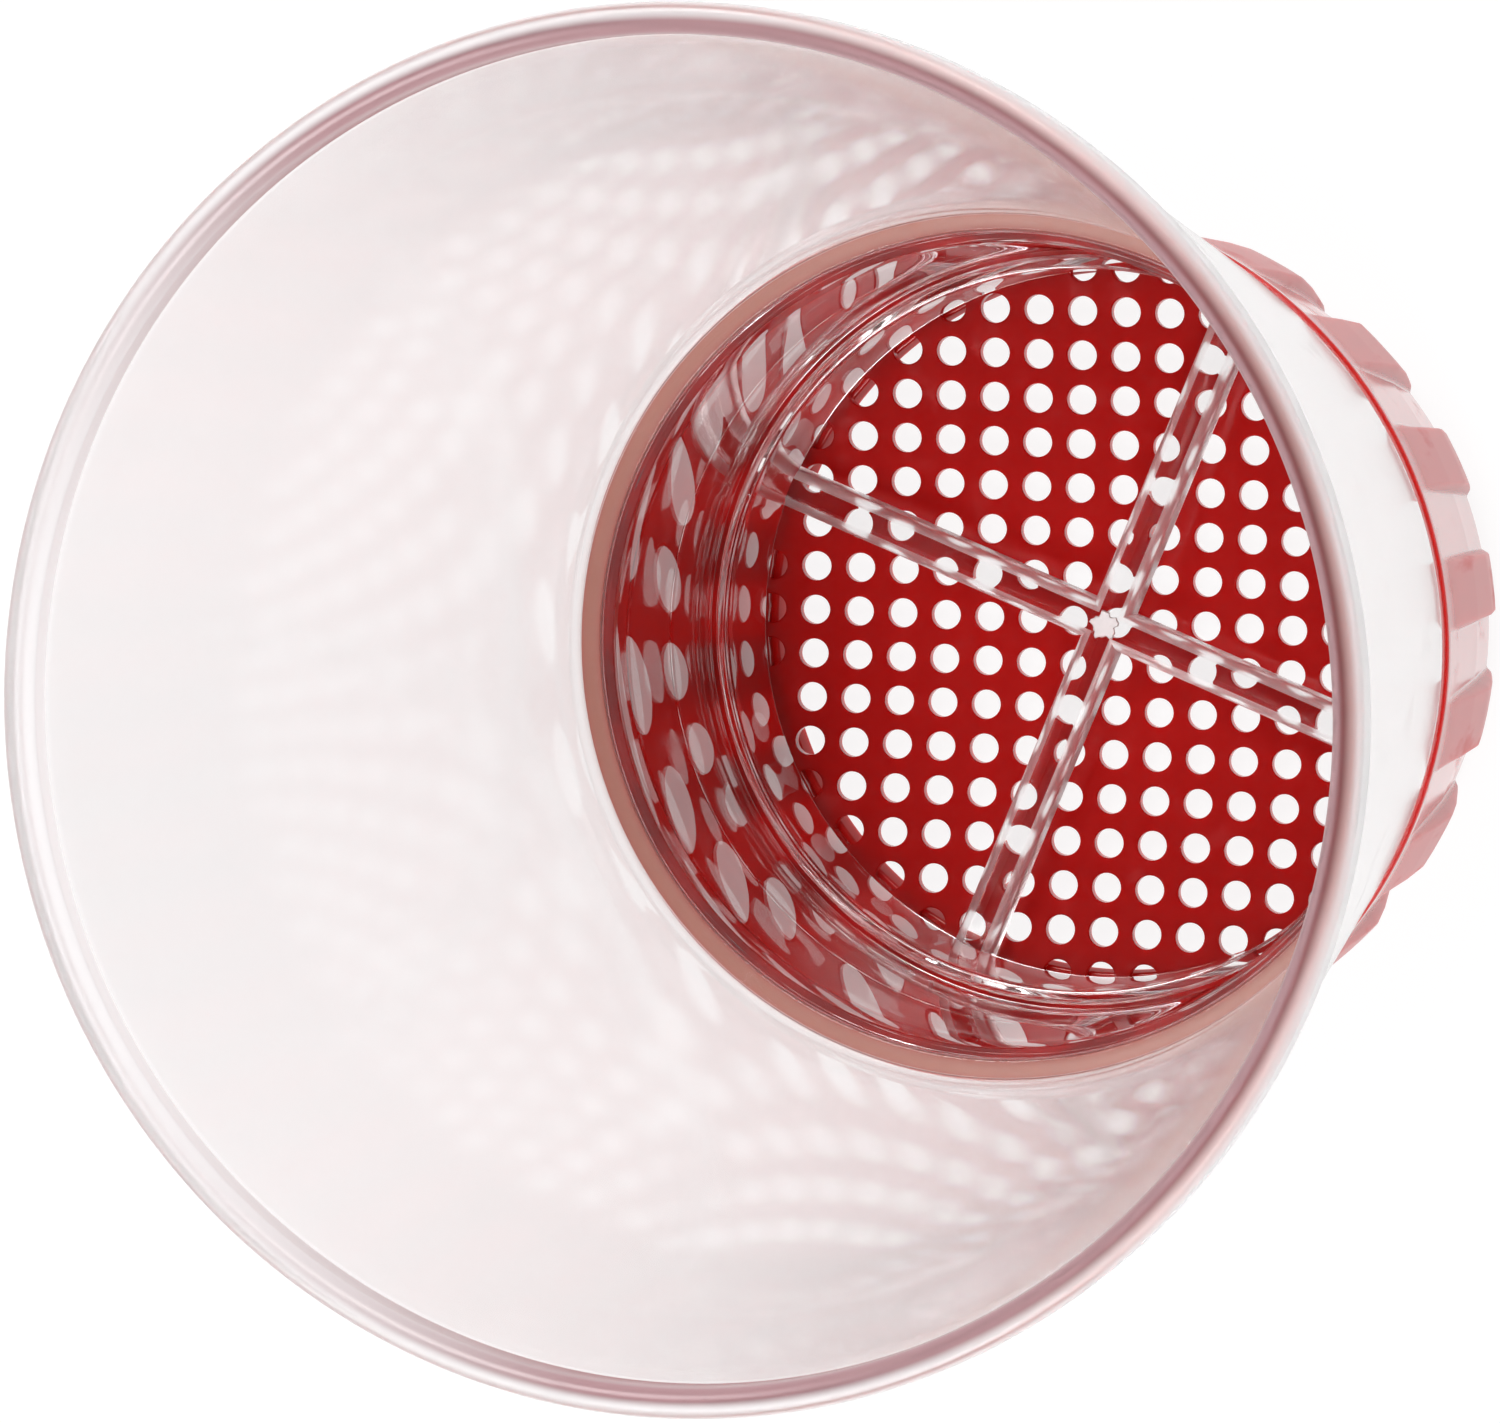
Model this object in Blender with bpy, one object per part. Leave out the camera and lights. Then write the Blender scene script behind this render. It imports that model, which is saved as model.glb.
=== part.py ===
"""Salad spinner: a clear tapered vessel whose neck turns inside a fluted strainer cup.

Metres, +Z up, standing on the foot of the cup. X runs along the rows of drain holes.
"""

import math

import bmesh
import bpy
from mathutils import Vector
from mathutils.geometry import delaunay_2d_cdt

MM = 0.001
TURN = 2.0 * math.pi

# Clear vessel
VESSEL_HEIGHT = 218.0 * MM
MOUTH_RADIUS = 71.1 * MM
SHOULDER_RADIUS = 55.8 * MM
SHOULDER_Z = 74.1 * MM
SKIRT_Z = 72.6 * MM
SKIRT_INNER_RADIUS = 55.1 * MM
WALL = 2.5 * MM
NECK_OUTER_RADIUS = 51.4 * MM
NECK_INNER_RADIUS = 49.8 * MM
NECK_BOTTOM_Z = 29.6 * MM
LEDGE_RADIUS = 53.5 * MM
LEDGE_Z = 75.8 * MM
SHOULDER_INNER_Z = 73.6 * MM
BEAD_HEIGHT = 0.4 * MM
BEAD_LEVELS = (66.1 * MM, 47.2 * MM)
VESSEL_SEGMENTS = 60

# Seal ring under the shoulder
SEAL_INNER_RADIUS = 51.7 * MM
SEAL_OUTER_RADIUS = 53.0 * MM
SEAL_FLANGE_RADIUS = 54.8 * MM
SEAL_BOTTOM_Z = 69.0 * MM
SEAL_FLANGE_Z = 72.6 * MM
SEAL_TOP_Z = 73.8 * MM

# Strainer cup
FLUTES = 20
FLUTE_PHASE = math.radians(9.0)
LOBE_HALF_ANGLE = math.radians(5.0)
FLUTE_EDGE_ANGLE = math.radians(1.1)

# Sections of the cup, as (height, radius) in millimetres from the foot to the rim
LOBE_LEVELS = ((0.0, 48.9), (0.9, 50.1), (3.2, 51.1), (8.0, 51.9), (18.0, 53.5))
LOBE_LEVELS += ((30.0, 55.0), (46.0, 55.6), (62.0, 55.9), (71.1, 56.0), (72.3, 56.0))
FLAT_LEVELS = ((0.0, 48.9), (1.0, 49.6), (3.2, 50.3), (8.0, 50.8), (30.0, 52.9), (71.1, 56.0))
FLAT_LEVELS += ((72.3, 56.0),)
BORE_LEVELS = ((0.0, 47.6), (5.0, 47.6), (5.1, 49.7), (8.0, 49.7), (20.0, 50.8))
BORE_LEVELS += ((29.0, 51.7), (50.0, 52.7), (66.0, 53.4), (72.3, 53.6))

# Domed strainer disc
HOLE_PITCH = 6.0 * MM
HOLE_DIAMETER = 4.0 * MM
HOLE_SIDES = 6
DISC_RADIUS = 49.4 * MM
DISC_THICKNESS = 1.8 * MM
DISC_CENTRE_Z = 3.4 * MM
DISC_DOME = 1.667
PERFORATED_RADIUS = 48.3 * MM
OUTERMOST_HOLE = 8.1
DISC_SEGMENTS = 72

# Cross ring
RING_OUTER_RADIUS = 48.8 * MM
RING_INNER_RADIUS = 47.5 * MM
RING_LIP_RADIUS = 49.4 * MM
RING_TOP_Z = 29.9 * MM
RING_BOTTOM_Z = 11.4 * MM
RIB_WIDTH = 5.4 * MM
RIB_BOTTOM_Z = 7.6 * MM
RIB_TOP_Z = 12.8 * MM
RIB_REACH = 48.3 * MM
RIB_ANGLE = math.radians(-20.7)
RING_SEGMENTS = 60


def clear_scene():
    for obj in list(bpy.data.objects):
        bpy.data.objects.remove(obj)


def material(name, colour, roughness, transmission=0.0, ior=1.5):
    made = bpy.data.materials.new(name)
    made.use_nodes = True
    shader = made.node_tree.nodes["Principled BSDF"]
    shader.inputs["Base Color"].default_value = (*colour, 1.0)
    shader.inputs["Roughness"].default_value = roughness
    shader.inputs["Transmission Weight"].default_value = transmission
    shader.inputs["IOR"].default_value = ior
    made.diffuse_color = (*colour, 1.0)
    return made


def new_object(name, points, faces, surface=None):
    mesh = bpy.data.meshes.new(name)
    mesh.from_pydata(points, [], faces)
    shape = bmesh.new()
    shape.from_mesh(mesh)
    bmesh.ops.recalc_face_normals(shape, faces=shape.faces)
    shape.to_mesh(mesh)
    shape.free()
    if surface:
        mesh.materials.append(surface)
    obj = bpy.data.objects.new(name, mesh)
    bpy.context.scene.collection.objects.link(obj)
    return obj


def revolved(name, profile, angles, surface, inset=None):
    """A closed (radius, z) profile swept round Z; inset(radius, z, angle) is taken off the radius."""
    points = []
    for angle in angles:
        for radius, z in profile:
            reach = radius - (inset(radius, z, angle) if inset else 0.0)
            points.append((reach * math.cos(angle), reach * math.sin(angle), z))
    rows = len(profile)
    columns = len(angles)
    faces = []
    for column in range(columns):
        here = column * rows
        there = (column + 1) % columns * rows
        for row in range(rows):
            after = (row + 1) % rows
            faces.append((here + row, there + row, there + after, here + after))
    return new_object(name, points, faces, surface)


def even_angles(count):
    return [TURN * step / count for step in range(count)]


def cone_radius(z):
    """Outer radius of the vessel wall at height z, between the shoulder and the rim."""
    share = (z - SHOULDER_Z) / (VESSEL_HEIGHT - SHOULDER_Z)
    return SHOULDER_RADIUS + share * (MOUTH_RADIUS - 0.5 * MM - SHOULDER_RADIUS)


def bead(z):
    """Points of a small rounded bead on the outside of the neck, from its top down."""
    reach = NECK_OUTER_RADIUS + BEAD_HEIGHT
    return [(NECK_OUTER_RADIUS, z + 0.8 * MM), (reach, z), (NECK_OUTER_RADIUS, z - 0.8 * MM)]


def build_vessel(surface):
    top = VESSEL_HEIGHT
    bead_foot = top - 6.5 * MM
    rim_inner = cone_radius(top) - WALL
    profile = [(rim_inner - 0.1 * MM, top - 4.0 * MM)]
    profile += [(rim_inner + 0.1 * MM, top - 0.9 * MM), (rim_inner + 0.9 * MM, top)]
    profile += [(MOUTH_RADIUS - 0.9 * MM, top), (MOUTH_RADIUS, top - 0.9 * MM)]
    profile += [(MOUTH_RADIUS, top - 4.5 * MM), (cone_radius(bead_foot), bead_foot)]
    profile += [(SHOULDER_RADIUS, SHOULDER_Z), (SHOULDER_RADIUS - 0.1 * MM, SKIRT_Z)]
    profile += [(SKIRT_INNER_RADIUS, SKIRT_Z), (SKIRT_INNER_RADIUS, SHOULDER_Z)]
    profile += [(NECK_OUTER_RADIUS, SHOULDER_Z)]
    for level in BEAD_LEVELS:
        profile += bead(level)
    profile += [(NECK_OUTER_RADIUS, NECK_BOTTOM_Z + 0.5 * MM)]
    profile += [(NECK_OUTER_RADIUS - 0.5 * MM, NECK_BOTTOM_Z)]
    profile += [(NECK_INNER_RADIUS + 0.5 * MM, NECK_BOTTOM_Z)]
    profile += [(NECK_INNER_RADIUS, NECK_BOTTOM_Z + 0.5 * MM)]
    profile += [(NECK_INNER_RADIUS + 0.2 * MM, SHOULDER_INNER_Z)]
    profile += [(NECK_INNER_RADIUS + 0.7 * MM, SHOULDER_INNER_Z + 0.8 * MM)]
    profile += [(LEDGE_RADIUS - 0.5 * MM, LEDGE_Z - 0.7 * MM)]
    profile += [(cone_radius(LEDGE_Z) - WALL, LEDGE_Z + 0.3 * MM)]
    revolved("vessel", profile, even_angles(VESSEL_SEGMENTS), surface)


def build_seal_ring(surface):
    profile = [(SEAL_INNER_RADIUS, SEAL_BOTTOM_Z), (SEAL_OUTER_RADIUS, SEAL_BOTTOM_Z)]
    profile += [(SEAL_OUTER_RADIUS, SEAL_FLANGE_Z), (SEAL_FLANGE_RADIUS, SEAL_FLANGE_Z)]
    profile += [(SEAL_FLANGE_RADIUS, SEAL_TOP_Z), (SEAL_INNER_RADIUS, SEAL_TOP_Z)]
    revolved("seal_ring", profile, even_angles(VESSEL_SEGMENTS), surface)


def flute_angles():
    """Five directions for each flute: both feet and both shoulders of the lobe, and the flat."""
    angles = []
    pitch = TURN / FLUTES
    for flute in range(FLUTES):
        middle = FLUTE_PHASE + flute * pitch
        for offset in (-LOBE_HALF_ANGLE, LOBE_HALF_ANGLE):
            inner = offset - math.copysign(FLUTE_EDGE_ANGLE, offset)
            pair = [middle + offset, middle + inner]
            angles += pair if offset < 0 else pair[::-1]
        angles.append(middle + 0.5 * pitch)
    return angles


def level_radius(levels, z):
    """Radius at height z, read between the listed levels of a section of the cup."""
    for (low, start), (high, end) in zip(levels, levels[1:]):
        if z <= high * MM:
            return (start + (z / MM - low) / (high - low) * (end - start)) * MM
    return levels[-1][1] * MM


def flute_inset(radius, z, angle):
    """Depth of the flats between the lobes, none on the inside of the cup."""
    pitch = TURN / FLUTES
    away = abs((angle - FLUTE_PHASE + 0.5 * pitch) % pitch - 0.5 * pitch)
    if away < LOBE_HALF_ANGLE - 0.5 * FLUTE_EDGE_ANGLE or radius < level_radius(LOBE_LEVELS, z) - 0.1 * MM:
        return 0.0
    return radius - level_radius(FLAT_LEVELS, z)


def build_strainer_cup(surface):
    profile = [(radius * MM, z * MM) for z, radius in LOBE_LEVELS]
    profile += [(level_radius(BORE_LEVELS, z * MM), z * MM) for z in (72.3, 50.0, 29.0, 20.0, 8.0, 5.1)]
    profile += [(BORE_LEVELS[0][1] * MM, 5.1 * MM), (BORE_LEVELS[0][1] * MM, 0.0)]
    revolved("strainer_cup", profile, flute_angles(), surface, flute_inset)


def hole_centres():
    reach = int(OUTERMOST_HOLE)
    steps = range(-reach, reach + 1)
    return [(i, j) for i in steps for j in steps if math.hypot(i, j) < OUTERMOST_HOLE]


def hole_outline(column, row):
    """Corners of one drain hole, kept inside the plain border of the disc."""
    corners = []
    for side in range(HOLE_SIDES):
        angle = TURN * side / HOLE_SIDES
        x = column * HOLE_PITCH + 0.5 * HOLE_DIAMETER * math.cos(angle)
        y = row * HOLE_PITCH + 0.5 * HOLE_DIAMETER * math.sin(angle)
        shrink = min(1.0, PERFORATED_RADIUS / math.hypot(x, y))
        corners.append(Vector((x * shrink, y * shrink)))
    return corners


def dome_height(point):
    return DISC_CENTRE_Z + DISC_DOME * (point.x**2 + point.y**2)


def inside_outline(point, corners):
    for start, end in zip(corners, corners[1:] + corners[:1]):
        if (end - start).cross(point - start) < 0.0:
            return False
    return True


def perforated_sheet():
    """Points, triangles and boundary edges of the flat disc with its drain holes left open."""
    points = []
    edges = []
    outlines = {cell: hole_outline(*cell) for cell in hole_centres()}
    border = [Vector((math.cos(a), math.sin(a))) * DISC_RADIUS for a in even_angles(DISC_SEGMENTS)]
    for loop in [border, *outlines.values()]:
        first = len(points)
        points += loop
        edges += [(first + k, first + (k + 1) % len(loop)) for k in range(len(loop))]
    made = delaunay_2d_cdt(points, edges, [], 0, 1e-7)
    sheet = []
    for face in made[2]:
        middle = sum((made[0][corner] for corner in face), Vector((0.0, 0.0))) / 3.0
        cell = (round(middle.x / HOLE_PITCH), round(middle.y / HOLE_PITCH))
        if cell not in outlines or not inside_outline(middle, outlines[cell]):
            sheet.append(tuple(face))
    return made[0], sheet


def build_strainer_disc(surface):
    flat, sheet = perforated_sheet()
    top = [(p.x, p.y, dome_height(p)) for p in flat]
    bottom = [(x, y, z - DISC_THICKNESS) for x, y, z in top]
    count = len(flat)
    faces = list(sheet)
    faces += [tuple(corner + count for corner in face[::-1]) for face in sheet]
    used = {}
    for face in sheet:
        for start, end in zip(face, face[1:] + face[:1]):
            used[(start, end)] = (end, start)
    for (start, end), opposite in used.items():
        if opposite not in used:
            faces.append((end, start, start + count, end + count))
    new_object("strainer_disc", top + bottom, faces, surface)


def cross_ribs():
    """Two crossing bars in one piece, standing under the ring."""
    half = 0.5 * RIB_WIDTH
    outline = []
    for quarter in range(4):
        turn = RIB_ANGLE + 0.25 * TURN * quarter
        along = Vector((math.cos(turn), math.sin(turn)))
        side = Vector((-along.y, along.x))
        outline += [along * RIB_REACH - side * half, along * RIB_REACH + side * half]
        outline += [along * half + side * half]
    points = [(p.x, p.y, z) for z in (RIB_BOTTOM_Z, RIB_TOP_Z) for p in outline]
    count = len(outline)
    faces = [tuple(range(count)), tuple(range(2 * count - 1, count - 1, -1))]
    for k in range(count):
        after = (k + 1) % count
        faces.append((k, after, after + count, k + count))
    ribs = new_object("cross_ribs", points, faces)
    ribs.hide_render = True
    ribs.display_type = "WIRE"
    return ribs


def build_cross_ring(surface):
    profile = [(RING_INNER_RADIUS, RING_BOTTOM_Z), (RING_OUTER_RADIUS, RING_BOTTOM_Z)]
    profile += [(RING_OUTER_RADIUS, RING_TOP_Z - 3.0 * MM)]
    profile += [(RING_LIP_RADIUS, RING_TOP_Z - 2.2 * MM), (RING_LIP_RADIUS, RING_TOP_Z)]
    profile += [(RING_INNER_RADIUS + 0.3 * MM, RING_TOP_Z)]
    profile += [(RING_INNER_RADIUS, RING_TOP_Z - 0.3 * MM)]
    angles = [RIB_ANGLE + angle for angle in even_angles(RING_SEGMENTS)]
    ring = revolved("cross_ring", profile, angles, surface)
    join = ring.modifiers.new("ribs", "BOOLEAN")
    join.operation = "UNION"
    join.solver = "EXACT"
    join.object = cross_ribs()


def main():
    clear_scene()
    clear = (0.93, 0.94, 0.94)
    red = (0.42, 0.010, 0.008)
    build_strainer_cup(material("red_gloss_plastic", red, 0.12))
    build_strainer_disc(material("red_disc_plastic", red, 0.16))
    build_cross_ring(material("clear_insert_plastic", clear, 0.04, 1.0, 1.49))
    build_seal_ring(material("amber_silicone", (0.45, 0.20, 0.12), 0.45))
    build_vessel(material("clear_vessel_plastic", clear, 0.04, 1.0, 1.49))


main()
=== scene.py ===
"""Looks of the salad spinner: clear tapered vessel, seal, cross ring and red fluted strainer cup."""

import math

import bmesh
import bpy
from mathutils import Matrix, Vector


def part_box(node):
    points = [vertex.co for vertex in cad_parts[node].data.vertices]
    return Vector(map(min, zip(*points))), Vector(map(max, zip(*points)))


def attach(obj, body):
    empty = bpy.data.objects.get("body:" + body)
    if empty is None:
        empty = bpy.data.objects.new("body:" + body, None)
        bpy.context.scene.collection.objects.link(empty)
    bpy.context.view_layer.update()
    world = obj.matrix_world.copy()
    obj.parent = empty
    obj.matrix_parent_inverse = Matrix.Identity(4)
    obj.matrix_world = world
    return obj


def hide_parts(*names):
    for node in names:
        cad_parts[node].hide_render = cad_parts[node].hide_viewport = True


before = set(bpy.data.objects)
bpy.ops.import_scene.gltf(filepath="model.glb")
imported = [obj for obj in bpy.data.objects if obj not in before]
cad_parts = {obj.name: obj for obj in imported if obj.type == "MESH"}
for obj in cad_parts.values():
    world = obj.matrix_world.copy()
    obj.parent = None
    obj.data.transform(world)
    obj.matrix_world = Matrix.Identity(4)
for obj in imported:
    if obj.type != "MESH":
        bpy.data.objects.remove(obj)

bl_info = {
    "name": "Salad Spinner",
    "version": (1, 0, 0),
    "blender": (4, 5, 0),
    "location": "3D View > Sidebar > Spinner",
    "description": "Builds the pieces, finishes and stage of a clear salad spinner on its strainer cup",
    "category": "Object",
}

MM = 0.001
TURN = 2.0 * math.pi
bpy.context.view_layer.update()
VESSEL_LOW, VESSEL_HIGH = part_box("vessel")
CUP_LOW, CUP_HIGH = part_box("strainer_cup")
DISC_LOW, DISC_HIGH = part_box("strainer_disc")
RING_LOW, RING_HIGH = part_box("cross_ring")
SEAL_LOW, SEAL_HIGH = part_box("seal_ring")

# The vessel's shoulder, where it meets the seal and the cup's rim.
SHOULDER_RADIUS = 55.8 * MM
SHOULDER_Z = 74.1 * MM
SKIRT_RADIUS = 55.1 * MM
LEDGE_Z = 76.0 * MM
BEAD_LEVELS = (66.1 * MM, 47.2 * MM)
BEAD_HEIGHT = 0.15 * MM
SEAL_MIDDLE_RADIUS = 53.3 * MM

# Clear plastic: its refraction, and how light is let through it.
CLEAR_IOR = 1.49
SOFT_LIGHT_PASSED = 0.9
MOST_BOUNCES = 8.0
HANDLED_Z = 75.0 * MM

# A place times this is the same place, brought down to height zero.
LEVEL = (1.0, 1.0, 0.0)


# ---------------------------------------------------------------- sizes and colours


def length(name, description, default):
    return bpy.props.FloatProperty(
        name=name, description=description, default=default, unit="LENGTH", precision=5
    )


def degrees(name, description, default):
    return bpy.props.FloatProperty(
        name=name, description=description, default=math.radians(default), subtype="ANGLE"
    )


def plain(name, description, default):
    return bpy.props.FloatProperty(name=name, description=description, default=default, min=0.0)


def whole(name, description, default):
    return bpy.props.IntProperty(name=name, description=description, default=default, min=3, max=720)


def colour(name, description, default):
    return bpy.props.FloatVectorProperty(
        name=name, description=description, default=default, size=3, subtype="COLOR", min=0.0, max=1.0
    )


def share(name, description, default):
    return bpy.props.FloatProperty(
        name=name, description=description, default=default, min=0.0, max=1.0, subtype="FACTOR"
    )


class VesselSettings(bpy.types.PropertyGroup):
    mouth_radius: length("Mouth Radius", "Outer radius of the rim", VESSEL_HIGH.x)
    rim_z: length("Rim Height", "Height of the rim above the foot", VESSEL_HIGH.z)
    neck_z: length("Neck End Height", "Height of the lower end of the neck", VESSEL_LOW.z)
    wall: length("Wall", "Thickness of the tapered wall", 2.5 * MM)
    rim_depth: length("Rim Depth", "Height of the thickened rim", 4.6 * MM)
    neck_radius: length("Neck Radius", "Outer radius of the neck", 51.4 * MM)
    neck_bore: length("Neck Bore", "Inner radius of the neck", 49.8 * MM)
    segments: whole("Segments", "Facets round the vessel", 288)
    tint: colour("Tint", "Colour that the clear plastic lends to light", (0.985, 0.973, 0.976))
    # The rim's pink tint and the dark red line round its inner corner are painted refraction of the red
    # cup, seen through the thick rim.
    rim_tint_with_painted_red: colour("Rim Tint", "Colour that the thick rim lends to light", (0.97, 0.945, 0.95))
    painted_rim_line_tint: colour("Rim Depth Tint", "Colour of the line round the rim", (0.22, 0.075, 0.085))
    roughness: share("Roughness", "Haze of the handled surface", 0.09)
    rim_roughness: share("Rim Roughness", "Haze of the worn rim", 0.28)


class CupSettings(bpy.types.PropertyGroup):
    rim_radius: length("Rim Radius", "Outer radius of the cup", CUP_HIGH.x)
    rim_z: length("Rim Height", "Height of the cup", CUP_HIGH.z)
    flutes: whole("Flutes", "Number of lobes round the cup", 20)
    phase: degrees("Phase", "Direction of the first lobe", 9.0)
    lobe_half_angle: degrees("Lobe Half Angle", "Half the width of a lobe, seen from the axis", 5.0)
    edge_angle: degrees("Edge Angle", "Width of the rounded step beside a lobe", 1.1)
    depth: length("Flute Depth", "Greatest depth of the flats between the lobes", 2.1 * MM)
    red: colour("Red", "Colour of the moulded plastic", (0.46, 0.012, 0.010))
    # The bore is the cup's own red plastic set darker: painted shade inside the cup.
    shaded_bore_red: colour("Bore Red", "Colour of the matt inside", (0.36, 0.010, 0.008))


class DiscSettings(bpy.types.PropertyGroup):
    radius: length("Radius", "Outer radius of the drain floor", DISC_HIGH.x)
    pitch: length("Hole Pitch", "Spacing of the drain holes", 6.0 * MM)
    hole_diameter: length("Hole Diameter", "Width of a drain hole", 4.0 * MM)
    chamfer: length("Hole Edge", "Width of the softened edge of a hole", 0.15 * MM)
    thickness: length("Thickness", "Thickness of the floor", 1.8 * MM)
    centre_z: length("Centre Height", "Height of the middle of the floor", 3.4 * MM)
    dome: plain("Dome", "Rise of the floor over the square of the radius", 1.667)
    perforated: length("Perforated Radius", "Where the plain border of the floor starts", 48.3 * MM)
    reach: plain("Reach", "How many pitches from the middle the outermost hole may stand", 8.1)
    # Darker than the cup's outer red: painted shade on the floor at the bottom of the cup.
    red: colour("Red", "Colour of the moulded plastic", (0.36, 0.008, 0.007))


class CrossRingSettings(bpy.types.PropertyGroup):
    outer_radius: length("Outer Radius", "Outer radius of the plain ring", 48.8 * MM)
    inner_radius: length("Inner Radius", "Inner radius of the ring", 47.5 * MM)
    lip_radius: length("Lip Radius", "Outer radius of the lip", 49.4 * MM)
    top_z: length("Top Height", "Height of the lip", RING_HIGH.z)
    bottom_z: length("Bottom Height", "Height of the ring's lower edge", 11.4 * MM)
    rib_width: length("Rib Width", "Width of a rib", 5.4 * MM)
    rib_bottom_z: length("Rib Bottom", "Height of a rib's underside", RING_LOW.z)
    rib_top_z: length("Rib Top", "Height of a rib's top", 12.8 * MM)
    rib_reach: length("Rib Reach", "How far a rib runs from the axis", 48.3 * MM)
    rib_edge: length("Rib Edge", "Radius of a rib's upper edges", 1.6 * MM)
    rib_foot: length("Rib Foot", "Radius of a rib's lower edges", 0.3 * MM)
    angle: degrees("Angle", "Direction of the first rib", -20.7)
    tint: colour("Tint", "Colour that the clear plastic lends to light", (0.99, 0.985, 0.985))


class SealSettings(bpy.types.PropertyGroup):
    inner_radius: length("Inner Radius", "Bore of the seal ring", 51.7 * MM)
    body_radius: length("Body Radius", "Outer radius of the part inside the cup", 53.0 * MM)
    flange_radius: length("Flange Radius", "Outer radius of the flange over the cup's rim", SEAL_HIGH.x)
    flange_z: length("Flange Height", "Height of the underside of the flange", 72.6 * MM)
    amber: colour("Amber", "Colour of the silicone", (0.225, 0.060, 0.035))


class StageSettings(bpy.types.PropertyGroup):
    lens: plain("Lens", "Focal length in mm", 138.28)
    camera: bpy.props.FloatVectorProperty(
        name="Camera",
        description="Camera position",
        default=(0.16616, 0.04085, 0.76804),
        subtype="TRANSLATION",
    )
    turn: bpy.props.FloatVectorProperty(
        name="Camera Turn",
        description="Camera rotation",
        default=(math.radians(-3.4757), math.radians(16.021), math.radians(1.896)),
        subtype="EULER",
    )
    floor_glow: plain("Floor Glow", "Light that the lit table gives off", 0.9)
    surroundings: plain("Surroundings", "Brightness of the white studio walls", 0.9)
    ceiling: plain("Ceiling", "Brightness of the dim studio ceiling", 0.06)


# ---------------------------------------------------------------- mesh helpers


def rounded(corners, steps=6):
    """A closed (radius, z) outline with each corner given as (radius, z, fillet) turned into an arc."""
    outline = []
    for k in range(len(corners)):
        here = Vector(corners[k][:2])
        fillet = corners[k][2]
        before = Vector(corners[k - 1][:2]) - here
        after = Vector(corners[(k + 1) % len(corners)][:2]) - here
        turn = before.angle(after)
        if fillet <= 0.0 or turn > math.radians(179.0):
            outline.append(here)
            continue
        back = min(fillet / math.tan(turn / 2.0), 0.48 * before.length, 0.48 * after.length)
        start = here + before.normalized() * back
        end = here + after.normalized() * back
        radius = back * math.tan(turn / 2.0)
        inward = (before.normalized() + after.normalized()).normalized()
        centre = here + inward * radius / math.sin(turn / 2.0)
        for step in range(steps + 1):
            toward = start.lerp(end, step / steps) - centre
            outline.append(centre + toward.normalized() * radius)
    return [(p.x, p.y) for p in outline]


def subdivided(outline, longest):
    """The outline with extra points, so that no edge is longer than given."""
    dense = []
    for k, here in enumerate(outline):
        after = outline[(k + 1) % len(outline)]
        gap = math.dist(here, after)
        parts = max(1, math.ceil(gap / longest))
        for part in range(parts):
            at = part / parts
            dense.append((here[0] + (after[0] - here[0]) * at, here[1] + (after[1] - here[1]) * at))
    return dense


def revolved(name, outline, angles):
    """A mesh object made by sweeping a closed (radius, z) outline round Z through the given angles."""
    points = []
    for angle in angles:
        points += [(r * math.cos(angle), r * math.sin(angle), z) for r, z in outline]
    rows = len(outline)
    faces = []
    for column in range(len(angles)):
        here = column * rows
        there = (column + 1) % len(angles) * rows
        for row in range(rows):
            after = (row + 1) % rows
            faces.append((here + row, there + row, there + after, here + after))
    return mesh_object(name, points, faces)


def mesh_object(name, points, faces):
    mesh = bpy.data.meshes.new(name)
    mesh.from_pydata(points, [], faces)
    outward(mesh)
    obj = bpy.data.objects.new(name, mesh)
    bpy.context.scene.collection.objects.link(obj)
    return obj


def outward(mesh):
    shape = bmesh.new()
    shape.from_mesh(mesh)
    bmesh.ops.recalc_face_normals(shape, faces=shape.faces)
    shape.to_mesh(mesh)
    shape.free()


def even_angles(count, start=0.0):
    return [start + TURN * step / count for step in range(count)]


def smooth_by_angle(obj, limit):
    """Smooth faces, with edges sharper than the limit kept crisp."""
    mesh = obj.data
    mesh.polygons.foreach_set("use_smooth", [True] * len(mesh.polygons))
    shape = bmesh.new()
    shape.from_mesh(mesh)
    for edge in shape.edges:
        edge.smooth = len(edge.link_faces) != 2 or edge.calc_face_angle(0.0) < limit
    shape.to_mesh(mesh)
    shape.free()


def settle(obj):
    """The object's evaluated shape as its own plain mesh, with its modifiers taken off."""
    graph = bpy.context.evaluated_depsgraph_get()
    graph.update()
    mesh = bpy.data.meshes.new_from_object(obj.evaluated_get(graph))
    mesh.name = obj.name
    obj.modifiers.clear()
    obj.data = mesh
    if not mesh.polygons:
        raise RuntimeError(obj.name + " came out empty")
    return obj


def place(obj, surface, body, node, limit=math.radians(35.0)):
    """Finishes a piece: outward faces, smooth shading, one material, and its place on the frame."""
    outward(obj.data)
    smooth_by_angle(obj, limit)
    obj.data.materials.clear()
    obj.data.materials.append(surface)
    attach(obj, body)
    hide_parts(node)


# ---------------------------------------------------------------- node helpers


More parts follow.
